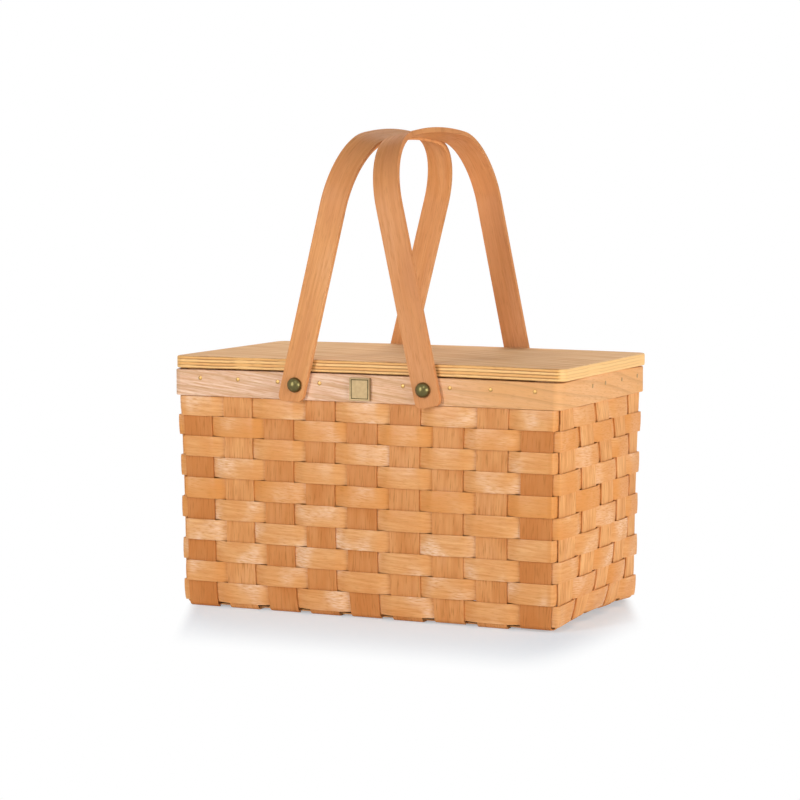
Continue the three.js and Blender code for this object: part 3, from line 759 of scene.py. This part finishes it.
class BASKET_OT_weavers(bpy.types.Operator):
    """Makes the weavers, one for each row, which go round the basket over and under the uprights"""

    bl_idname = "basket.weavers"
    bl_label = "Weavers"

    def execute(self, context):
        sizes = context.scene.basket_weave
        plan = WeavePlan(sizes)
        wood = lacquered_wood("weaver", context.scene.basket_colours)
        count = sum(name.startswith("weaver_row_") for name in frame["nodes"])
        draw = random.Random(WEAVE_SEED)
        for row in range(1, count + 1):
            node = f"weaver_row_{row}"
            low, high = (corner.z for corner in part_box(node))
            starts_outside = (count - row) % 2 == 1
            stations = self.stations(plan, low, high, starts_outside, draw)
            shape = strip(stations, STRIP_ROWS, node, closed=True, cup=sizes.cup)
            plan.lean_in(shape)
            piece = add_piece(f"weaver_splint_{row}", shape, [wood], "basket", [node])
            self.tone_with_painted_ends(plan, piece, WEAVER_TONES[row % len(WEAVER_TONES)])
            thicken(piece, sizes.splint, sizes.edge_round, segments=2)
        return {"FINISHED"}

    @staticmethod
    def tone_with_painted_ends(plan, piece, tone):
        """Gives a weaver its tone, with painted lighting in the basket's ends: there its colour is deeper,
        to offset the paler reflection that those walls catch at a slant.
        """
        end = plan.wall_x - END_DEPTH
        set_tone(piece, lambda place: tone + END_PAINTED_DEEPENING * (abs(place.x) > end))

    def stations(self, plan, low, high, starts_outside, draw):
        """The stations of a weaver, anticlockwise from the front left seen from above."""
        x, y = plan.wall_x, plan.wall_y
        walls = [
            (plan.long_places, lambda along, out: Vector((along, -y - out, 0))),
            (plan.end_places, lambda along, out: Vector((x + out, along, 0))),
            (plan.long_places, lambda along, out: Vector((-along, y + out, 0))),
            (plan.end_places, lambda along, out: Vector((-x - out, -along, 0))),
        ]
        side = 1 if starts_outside else -1
        stretches = []
        for places, at in walls:
            stretches.append(self.stretch(plan, places, at, side, draw))
            side = -side
        line = []
        for k, stretch in enumerate(stretches):
            after = stretches[(k + 1) % len(stretches)][0]
            line.extend(stretch)
            line.extend(self.corner(stretch[-1], after, k % 2 == 0))
        line.append(line[0])
        middle = (low + high) / 2
        half = (high - low) / 2
        return [Station(p + UP * (middle + self.stray(plan, p, middle)), UP, half) for p in line]

    @staticmethod
    def stray(plan, point, height):
        """How far a weaver strays up or down at a point in plan."""
        ripples = 9
        row_change = 50
        return plan.sizes.wobble * noise.noise(point * ripples + UP * height * row_change)

    @staticmethod
    def stretch(plan, places, at, side, draw):
        """The points of a weaver along one wall. Beside a corner it stays at its full offset."""
        pitch = places[1] - places[0]
        reach = places[-1] + plan.width / 2
        bows = [plan.sizes.bow + draw.uniform(0, plan.sizes.bow_spread) for _ in places]
        steps = CROSSING_STEPS * len(places)
        points = []
        for step in range(steps + 1):
            along = reach * (2 * step / steps - 1)
            k = min(range(len(places)), key=lambda n: abs(along - places[n]))
            aside = along - places[k]
            at_corner = along < places[0] or along > places[-1]
            reached = 1 if at_corner else plan.wave(aside, pitch)
            points.append(at(along, side * (-1) ** k * bows[k] * reached))
        return points

    @staticmethod
    def corner(start, end, along_x):
        """The bend of a weaver round a corner of the basket, without its ends."""
        peak = Vector((end.x, start.y, 0)) if along_x else Vector((start.x, end.y, 0))
        steps = 8
        shares = [k / steps for k in range(1, steps)]
        return [start.lerp(peak, t).lerp(peak.lerp(end, t), t) for t in shares]


def rim_stations(node, thickness, corner, crown):
    """The stations of a rim band: a rounded rectangle in plan, its upper edge crowned along each wall."""
    low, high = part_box(node)
    half_x = high.x - thickness / 2 - corner
    half_y = high.y - thickness / 2 - corner
    places = [(half_x, half_y), (-half_x, half_y), (-half_x, -half_y), (half_x, -half_y)]
    bend_steps = 10
    bends = [arc(x, y, corner, 90 * k, 90 * (k + 1), bend_steps) for k, (x, y) in enumerate(places)]
    steps = 24
    line = []
    for k, bend in enumerate(bends):
        line.extend((point, -crown) for point in bend[:-1])
        for n, point in enumerate(spaced(bend[-1], bends[(k + 1) % len(bends)][0], steps)):
            line.append((point, crown * (1 - 2 * (2 * n / steps - 1) ** 2)))
    line.append(line[0])
    stations = []
    for point, rise in line:
        half = (high.z + rise - low.z) / 2
        stations.append(Station(Vector((point.x, point.y, low.z + half)), UP, half))
    return stations


class BASKET_OT_rims(bpy.types.Operator):
    """Makes the outer and inner rim bands"""

    bl_idname = "basket.rims"
    bl_label = "Rim bands"

    def execute(self, context):
        sizes = context.scene.basket_trim
        wood = lacquered_wood("rim", context.scene.basket_colours)
        rows = 4
        bands = {
            "outer": (sizes.rim_outer, sizes.rim_corner - sizes.rim_outer / 2),
            "inner": (sizes.rim_inner, sizes.rim_inner_corner),
        }
        for kind, (thickness, corner) in bands.items():
            node = f"{kind}_rim"
            shape = strip(rim_stations(node, thickness, corner, sizes.rim_crown), rows, node, closed=True)
            piece = add_piece(f"rim_band_{kind}", shape, [wood], "basket", [node])
            set_tone(piece, self.tone)
            thicken(piece, thickness, sizes.rim_edge, segments=3)
        return {"FINISHED"}

    @staticmethod
    def tone(place):
        """Warmer from the middle of the basket to its right end."""
        return max(0, min(RIM_WARMTH, (place.x - RIM_WARMS) / RIM_WARMTH_SPREAD))


class BASKET_OT_tacks(bpy.types.Operator):
    """Makes the brass tacks that pin each upright to the rim"""

    bl_idname = "basket.tacks"
    bl_label = "Rim tacks"

    def execute(self, context):
        sizes = context.scene.basket_trim
        plan = WeavePlan(context.scene.basket_weave)
        low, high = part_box("outer_rim")
        badge_low, badge_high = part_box("badge_plate")
        height = low.z + sizes.tack_height
        places = []
        for face, out in FACES.items():
            for x, along in zip(plan.long_places, FRONT_TACKS):
                if face == "back" or not badge_low.x < x < badge_high.x:
                    places.append((Vector((x - out * along, out * high.y, height)), Y_AXIS))
        for out in SIDES.values():
            for y, along in zip(plan.end_places[1:], END_TACKS):
                places.append((Vector((out * high.x, y + along, height)), X_AXIS))
        draw = random.Random(TACK_SEED)
        shape = bmesh.new()
        for place, axis in places:
            stray = UP * draw.uniform(-sizes.tack_stray, sizes.tack_stray)
            flat = Matrix.Scale(2 * sizes.tack_rise / sizes.tack, 4, axis)
            matrix = Matrix.Translation(place + stray) @ flat
            bmesh.ops.create_icosphere(shape, subdivisions=2, radius=sizes.tack / 2, matrix=matrix)
        brass = polished_metal("tack_brass", context.scene.basket_colours.tack_brass, roughness=0.36)
        add_piece("rim_tacks", shape, [brass], "basket")
        return {"FINISHED"}


def block(low, high):
    """A box between two corners."""
    shape = bmesh.new()
    size = high - low
    matrix = Matrix.Translation((low + high) / 2) @ Matrix.Diagonal((*size, 1))
    bmesh.ops.create_cube(shape, size=1, matrix=matrix)
    return shape


def round_edges(shape, edges, radius, segments):
    """Bevels the given edges to a radius."""
    bmesh.ops.bevel(shape, geom=edges, offset=radius, offset_type="OFFSET", segments=segments, profile=0.5,
                    affect="EDGES", material=-1)


def is_upright(edge):
    """Whether an edge runs up and down."""
    return abs((edge.verts[0].co - edge.verts[1].co).normalized().z) > UPRIGHT


class BASKET_OT_lid(bpy.types.Operator):
    """Makes the plywood lid and the two battens under it"""

    bl_idname = "basket.lid"
    bl_label = "Lid"

    def execute(self, context):
        sizes = context.scene.basket_trim
        colours = context.scene.basket_colours
        low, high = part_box("lid_board")
        half = high.x

        def rise(x):
            """How far the bow lifts the board at x."""
            return sizes.lid_bow - x * x * (2 * sizes.lid_bow / half**2)

        def settle(shape):
            """Bows a shape with the board and shifts it with it."""
            for vert in shape.verts:
                swell = max(0, vert.co.z - low.z) * (sizes.lid_swell / (high.z - low.z))
                vert.co += Vector((sizes.lid_shift, 0, rise(vert.co.x) + sizes.lid_stand + swell))

        shape = block(low, high)
        corners = [edge for edge in shape.edges if is_upright(edge)]
        round_edges(shape, corners, sizes.lid_corner, segments=10)
        shape.normal_update()
        faces = [face for face in shape.faces if abs(face.normal.z) > UPRIGHT]
        rims = list({edge for face in faces for edge in face.edges})
        round_edges(shape, rims, sizes.lid_edge, segments=4)
        shape.normal_update()
        veneered = 0.95  # a face whose normal has this share of its length along Z has veneer on it
        for face in shape.faces:
            face.material_index = 0 if abs(face.normal.z) > veneered else 1
        slices = 16
        for k in range(1, slices):
            geometry = shape.verts[:] + shape.edges[:] + shape.faces[:]
            cut = (half * (2 * k / slices - 1), 0, 0)
            bmesh.ops.bisect_plane(shape, geom=geometry, plane_co=cut, plane_no=X_AXIS)
        settle(shape)
        veneer = lid_veneer(colours)
        edge = ply_edge(colours, low.z + sizes.lid_stand, high.z - low.z + sizes.lid_swell, rise, half)
        lid = add_piece("lid_panel", shape, [veneer, edge], "lid", ["lid_board"])
        keep_flat(lid)
        for side in SIDES:
            node = f"lid_batten_{side}"
            rail = block(*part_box(node))
            settle(rail)
            batten = add_piece(f"lid_rail_{side}", rail, [veneer], "lid", [node])
            soften(batten, sizes.batten_edge, segments=3)
        return {"FINISHED"}


def handle_line(sizes, shoulder_y):
    """Half of a handle's arch as (depth, rise, half width), from the back foot to the top of the crown."""
    slant = math.atan(sizes.crown_slope)
    bend_y = shoulder_y - sizes.bend
    crown = bend_y / math.sin(slant) + sizes.bend
    shoulder = sizes.reach - crown + (crown - sizes.bend) * math.cos(slant)
    slope = sizes.flare / shoulder
    foot_y = shoulder_y - sizes.flare
    full = sizes.width / 2
    rounding = sizes.foot_round
    corner_steps = 8
    points = []
    for k in range(corner_steps + 1):
        rise = rounding * (1 - math.cos(math.pi / 2 * k / corner_steps))
        half = full - rounding + math.sqrt(rounding**2 - (rounding - rise) ** 2)
        points.append((foot_y + slope * (rise - sizes.foot), rise - sizes.foot, half))
    start = rounding - sizes.foot
    leg_steps = bend_steps = 24
    crown_steps = 12
    for k in range(1, leg_steps):
        rise = start + (shoulder - start) * k / leg_steps
        points.append((foot_y + slope * rise, rise, full))
    bend_end = 90 - math.degrees(slant)
    curve = arc(bend_y, shoulder, sizes.bend, 0, bend_end, bend_steps)[:-1]
    curve += arc(0, sizes.reach - crown, crown, bend_end, 90, crown_steps)
    return points + [(p.x, p.y, full) for p in curve]


class BASKET_OT_handles(bpy.types.Operator):
    """Makes the two bentwood strap handles"""

    bl_idname = "basket.handles"
    bl_label = "Handles"

    def execute(self, context):
        sizes = context.scene.basket_handles
        wood = lacquered_wood("handle", context.scene.basket_colours)
        for side, sign in SIDES.items():
            node = f"{side}_handle"
            body = f"handle_{side}"
            pivot = next(Vector(joint["pos_m"]) for joint in frame["joints"] if joint["child"] == body)
            low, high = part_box(node)
            inner_edge = low.x if sign > 0 else high.x
            lean = self.lean(sizes, abs(inner_edge - pivot.x))
            placed = Matrix.Translation(pivot) @ Matrix.Rotation(-sign * lean, 4, "Y")
            across = (placed.to_3x3() @ X_AXIS).normalized()
            back = handle_line(sizes, high.y - sizes.thickness / 2)
            front = [(-depth, rise, half) for depth, rise, half in reversed(back[:-1])]
            level_cut = getattr(sizes, f"{side}_cut")
            stations = []
            for depth, rise, half in back + front:
                middle = placed @ Vector((sign * sizes.offset, depth, rise))
                turn = level_cut * min(1, max(0, -rise / sizes.foot))
                edge = across.lerp(X_AXIS, turn).normalized()
                stations.append(Station(middle, edge, half / edge.dot(across)))
            shape = strip(stations, STRIP_ROWS, node)
            piece = add_piece(f"{side}_strap", shape, [wood], body, [node])
            set_tone(piece, self.right_tone if sign > 0 else self.left_tone)
            thicken(piece, sizes.thickness, sizes.edge, segments=3)
        return {"FINISHED"}

    @staticmethod
    def right_tone(place):
        """Dull along the legs and plain at the top of the crown; the plain crown is painted light on its
        underside, which lies in shade.
        """
        return RIGHT_STRAP_TONE * min(1, abs(place.y) / PAINTED_CROWN_LIGHT_REACH)

    @staticmethod
    def left_tone(place):
        """Plain, but for the shade painted on its front shoulder, which faces up away from the front light.
        """
        return PAINTED_SHADE_DEPTH * max(0, 1 - (place - PAINTED_SHADE_SPOT).length / PAINTED_SHADE_REACH)

    @staticmethod
    def lean(sizes, across):
        """The lean at which the crown's inner edge lies the given distance across from the rivets."""
        reach = sizes.reach + sizes.thickness / 2
        inner = sizes.width / 2 - sizes.offset
        return math.asin(across / math.hypot(reach, inner)) - math.atan2(inner, reach)


def turned_shape(profile):
    """Spins a profile of (radius, height) points round the Z axis into a closed shape."""
    shape = bmesh.new()
    verts = [shape.verts.new((radius, 0, height)) for radius, height in profile]
    edges = [shape.edges.new(pair) for pair in zip(verts, verts[1:])]
    bmesh.ops.spin(shape, geom=verts + edges, cent=(0, 0, 0), axis=UP, angle=math.tau, steps=SPIN_STEPS,
                   use_merge=True)
    bmesh.ops.remove_doubles(shape, verts=shape.verts, dist=MERGE)
    bmesh.ops.recalc_face_normals(shape, faces=shape.faces)
    return shape


def rivet_profile(sizes, radius, grip):
    """From the crown of the domed head to the end of the peened tail, with the head's seat at height 0."""
    shank = sizes.rivet_shank / 2
    tail = sizes.rivet_tail_width / 2
    lip = 0.0005
    steps = 10
    turns = [math.pi / 2 * k / steps for k in range(steps + 1)]
    dome = [(radius * math.sin(t), lip + (sizes.rivet_head - lip) * math.cos(t)) for t in turns]
    return [
        *dome, (radius - lip / 2, 0), (shank, 0), (shank, -grip), (tail, -grip),
        (tail, -grip - sizes.rivet_tail / 2), (tail - lip, -grip - sizes.rivet_tail),
        (0, -grip - sizes.rivet_tail),
    ]


class BASKET_OT_rivets(bpy.types.Operator):
    """Makes the rivets that the handles swing on and the burr washers on their inner ends"""

    bl_idname = "basket.rivets"
    bl_label = "Rivets and washers"

    def execute(self, context):
        sizes = context.scene.basket_trim
        colours = context.scene.basket_colours
        bronze = polished_metal("rivet_bronze", colours.bronze, roughness=0.26)
        for side in SIDES:
            for face, out in FACES.items():
                corner = f"{side}_{face}"
                self.add_rivet(sizes, bronze, corner, out)
                self.add_washer(sizes, bronze, corner)
        return {"FINISHED"}

    @staticmethod
    def outward(out):
        """Turns the Z axis to point out of the front or the back."""
        return Matrix.Rotation(-out * math.pi / 2, 4, "X")

    def add_rivet(self, sizes, bronze, corner, out):
        node = f"rivet_{corner}"
        low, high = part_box(node)
        grip = high.y - low.y - sizes.rivet_head - sizes.rivet_tail
        seat = (high.y if out > 0 else low.y) - out * sizes.rivet_head
        shape = turned_shape(rivet_profile(sizes, (high.z - low.z) / 2, grip))
        place = Vector(((low.x + high.x) / 2, seat, (low.z + high.z) / 2))
        bmesh.ops.transform(shape, matrix=Matrix.Translation(place) @ self.outward(out), verts=shape.verts)
        piece = add_piece(f"{corner}_rivet", shape, [bronze], "basket", [node])
        piece.data.set_sharp_from_angle(angle=CREASE)

    def add_washer(self, sizes, bronze, corner):
        node = f"washer_{corner}"
        low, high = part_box(node)
        outer = (high.z - low.z) / 2
        inner = sizes.washer_hole / 2
        half = (high.y - low.y) / 2
        profile = [(inner, -half), (outer, -half), (outer, half), (inner, half), (inner, -half)]
        shape = turned_shape(profile)
        matrix = Matrix.Translation((low + high) / 2) @ self.outward(1)
        bmesh.ops.transform(shape, matrix=matrix, verts=shape.verts)
        piece = add_piece(f"{corner}_washer", shape, [bronze], "basket", [node])
        soften(piece, half / 3, segments=2)


class BASKET_OT_badge(bpy.types.Operator):
    """Makes the bare square plate on the front of the rim"""

    bl_idname = "basket.badge"
    bl_label = "Badge plate"

    def execute(self, context):
        sizes = context.scene.basket_trim
        colours = context.scene.basket_colours
        shape = block(*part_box("badge_plate"))
        front = min(shape.faces, key=lambda face: face.calc_center_median().y)
        bmesh.ops.inset_region(shape, faces=[front], thickness=sizes.badge_border)
        bmesh.ops.translate(shape, verts=front.verts, vec=(0, sizes.badge_rise, 0))
        groove = bmesh.ops.inset_region(shape, faces=[front], thickness=sizes.badge_groove)
        for face in groove["faces"]:
            face.material_index = 1
        brass = polished_metal("badge_brass", colours.brass, roughness=0.5)
        dark = polished_metal("badge_groove", colours.patina, roughness=0.5)
        piece = add_piece("badge", shape, [brass, dark], "basket", ["badge_plate"])
        soften(piece, sizes.badge_edge, segments=3)
        return {"FINISHED"}


def white_to_the_eye(finish):
    """1 for what the camera sees, also in a shiny surface or through glass, and 0 for other light."""
    kinds = ("Is Camera Ray", "Is Glossy Ray", "Is Transmission Ray")
    rays = [finish.node("ShaderNodeLightPath", {}, {}, output=kind) for kind in kinds]
    return (rays[0] + rays[1] + rays[2]).between(0.0, 1.0)


def pale_floor(settings, colours):
    """A pale matt floor under a white veil, so that the camera sees only the basket's shadow on it."""
    finish = Finish(bpy.data.materials.new("pale_floor"))
    x, y, _ = finish.parts(finish.place())
    across = x * math.cos(settings.yaw) + y * math.sin(settings.yaw)
    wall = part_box("outer_rim")[1]
    near = (across * across).between(settings.shade_edge**2, settings.shade_side**2)
    for part, start, reach in ((x, wall.x, settings.shade_end), (y, wall.y, settings.shade_front)):
        near = near * (part * part).between((start + reach) ** 2, start**2)
    matt = finish.node("ShaderNodeBsdfDiffuse", {}, {"Color": (*colours.floor, 1)})
    dimmed = finish.node("ShaderNodeBsdfDiffuse", {}, {"Color": (*colours.floor_seen, 1)})
    veil = finish.node("ShaderNodeEmission", {}, {"Color": (1, 1, 1, 1), "Strength": settings.veil})
    white = finish.node("ShaderNodeEmission", {}, {"Color": (1, 1, 1, 1), "Strength": 1.0})
    lit = finish.node("ShaderNodeAddShader", {}, {0: dimmed, 1: veil})
    seen = finish.node("ShaderNodeMixShader", {}, {0: near, 1: white, 2: lit})
    shader = finish.node("ShaderNodeMixShader", {}, {0: white_to_the_eye(finish), 1: matt, 2: seen})
    return finish.output("ShaderNodeOutputMaterial", shader)


def studio_sky(settings):
    """Even light from all round, which looks white."""
    finish = Finish(bpy.data.worlds.new("studio_sky"))
    even = finish.node("ShaderNodeBackground", {}, {"Color": (1, 1, 1, 1), "Strength": settings.sky})
    white = finish.node("ShaderNodeBackground", {}, {"Color": (1, 1, 1, 1), "Strength": 1.0})
    shader = finish.node("ShaderNodeMixShader", {}, {0: white_to_the_eye(finish), 1: even, 2: white})
    return finish.output("ShaderNodeOutputWorld", shader)


class Lamp(NamedTuple):
    """A soft lamp: its size, and where it stands, turned round from the front and raised by degrees."""

    width: float
    height: float
    azimuth: float
    elevation: float
    distance: float


LAMPS = {
    "key": Lamp(width=0.45, height=1.6, azimuth=-21, elevation=9, distance=2.4),
    "side": Lamp(width=2.0, height=0.9, azimuth=76, elevation=2, distance=2.2),
    "back": Lamp(width=1.6, height=1.6, azimuth=205, elevation=40, distance=2.2),
    "glint": Lamp(width=0.4, height=0.4, azimuth=22, elevation=40, distance=2.2),
}
FLOOR_REACH = 6  # from the middle of the floor to its sides


def look_from(turn, tilt):
    """The way from the basket to something turned round it from the front and raised, in radians."""
    return Vector((math.sin(turn) * math.cos(tilt), -math.cos(turn) * math.cos(tilt), math.sin(tilt)))


def add_lamp(name, watts, lamp):
    """A lamp that faces the middle of the basket."""
    data = bpy.data.lights.new(name, "AREA")
    data.energy = watts
    data.shape = "RECTANGLE"
    data.size, data.size_y = lamp.width, lamp.height
    made = bpy.data.objects.new(name, data)
    bpy.context.scene.collection.objects.link(made)
    back = look_from(math.radians(lamp.azimuth), math.radians(lamp.elevation))
    made.location = (CAD_BOX[0] + CAD_BOX[1]) / 2 + back * lamp.distance
    made.rotation_euler = (-back).to_track_quat("-Z", "Y").to_euler()


class BASKET_OT_stage(bpy.types.Operator):
    """Sets the camera, the floor and the soft studio light"""

    bl_idname = "basket.stage"
    bl_label = "Stage"

    def execute(self, context):
        scene = context.scene
        settings = scene.basket_stage
        scene.view_settings.view_transform = "Standard"
        scene.world = studio_sky(settings)
        self.add_camera(scene, settings)
        shape = bmesh.new()
        bmesh.ops.create_grid(shape, x_segments=1, y_segments=1, size=FLOOR_REACH)
        floor = add_object("floor", shape, [pale_floor(settings, scene.basket_colours)])
        for name, lamp in LAMPS.items():
            add_lamp(name, getattr(settings, name), lamp)
        return {"FINISHED"}

    @staticmethod
    def add_camera(scene, settings):
        """Sets the camera where the picture was taken from."""
        right = Vector((math.cos(settings.yaw), math.sin(settings.yaw), 0))
        ahead = -look_from(settings.yaw, settings.pitch)
        data = bpy.data.cameras.new("camera")
        data.lens = settings.lens
        camera = bpy.data.objects.new("camera", data)
        camera.location = UP * settings.aim_height + right * settings.aim_side - ahead * settings.distance
        camera.rotation_euler = ahead.to_track_quat("-Z", "Y").to_euler()
        scene.collection.objects.link(camera)
        scene.camera = camera


OPERATORS = (
    BASKET_OT_stage, BASKET_OT_uprights, BASKET_OT_weavers, BASKET_OT_rims, BASKET_OT_tacks, BASKET_OT_lid,
    BASKET_OT_handles, BASKET_OT_rivets, BASKET_OT_badge,
)
SETTINGS = {
    "basket_weave": WeaveSizes,
    "basket_trim": TrimSizes,
    "basket_handles": HandleSizes,
    "basket_colours": FinishColours,
    "basket_stage": StageSettings,
}


class BASKET_PT_sidebar(bpy.types.Panel):
    """Lists the pieces of the basket"""

    bl_idname = "BASKET_PT_sidebar"
    bl_label = "Picnic Basket"
    bl_space_type = "VIEW_3D"
    bl_region_type = "UI"
    bl_category = "Basket"

    def draw(self, context):
        for operator in OPERATORS:
            self.layout.operator(operator.bl_idname)
        for key, group in SETTINGS.items():
            box = self.layout.box()
            for name in group.__annotations__:
                box.prop(getattr(context.scene, key), name)


CLASSES = (*SETTINGS.values(), *OPERATORS, BASKET_PT_sidebar)


def register():
    for item in CLASSES:
        bpy.utils.register_class(item)
    for key, group in SETTINGS.items():
        setattr(bpy.types.Scene, key, PointerProperty(type=group))


def unregister():
    for key in SETTINGS:
        delattr(bpy.types.Scene, key)
    for item in reversed(CLASSES):
        bpy.utils.unregister_class(item)


def main():
    register()
    bpy.ops.basket.stage()
    bpy.ops.basket.uprights()
    bpy.ops.basket.weavers()
    bpy.ops.basket.rims()
    bpy.ops.basket.tacks()
    bpy.ops.basket.lid()
    bpy.ops.basket.handles()
    bpy.ops.basket.rivets()
    bpy.ops.basket.badge()


if __name__ == "__main__":
    main()
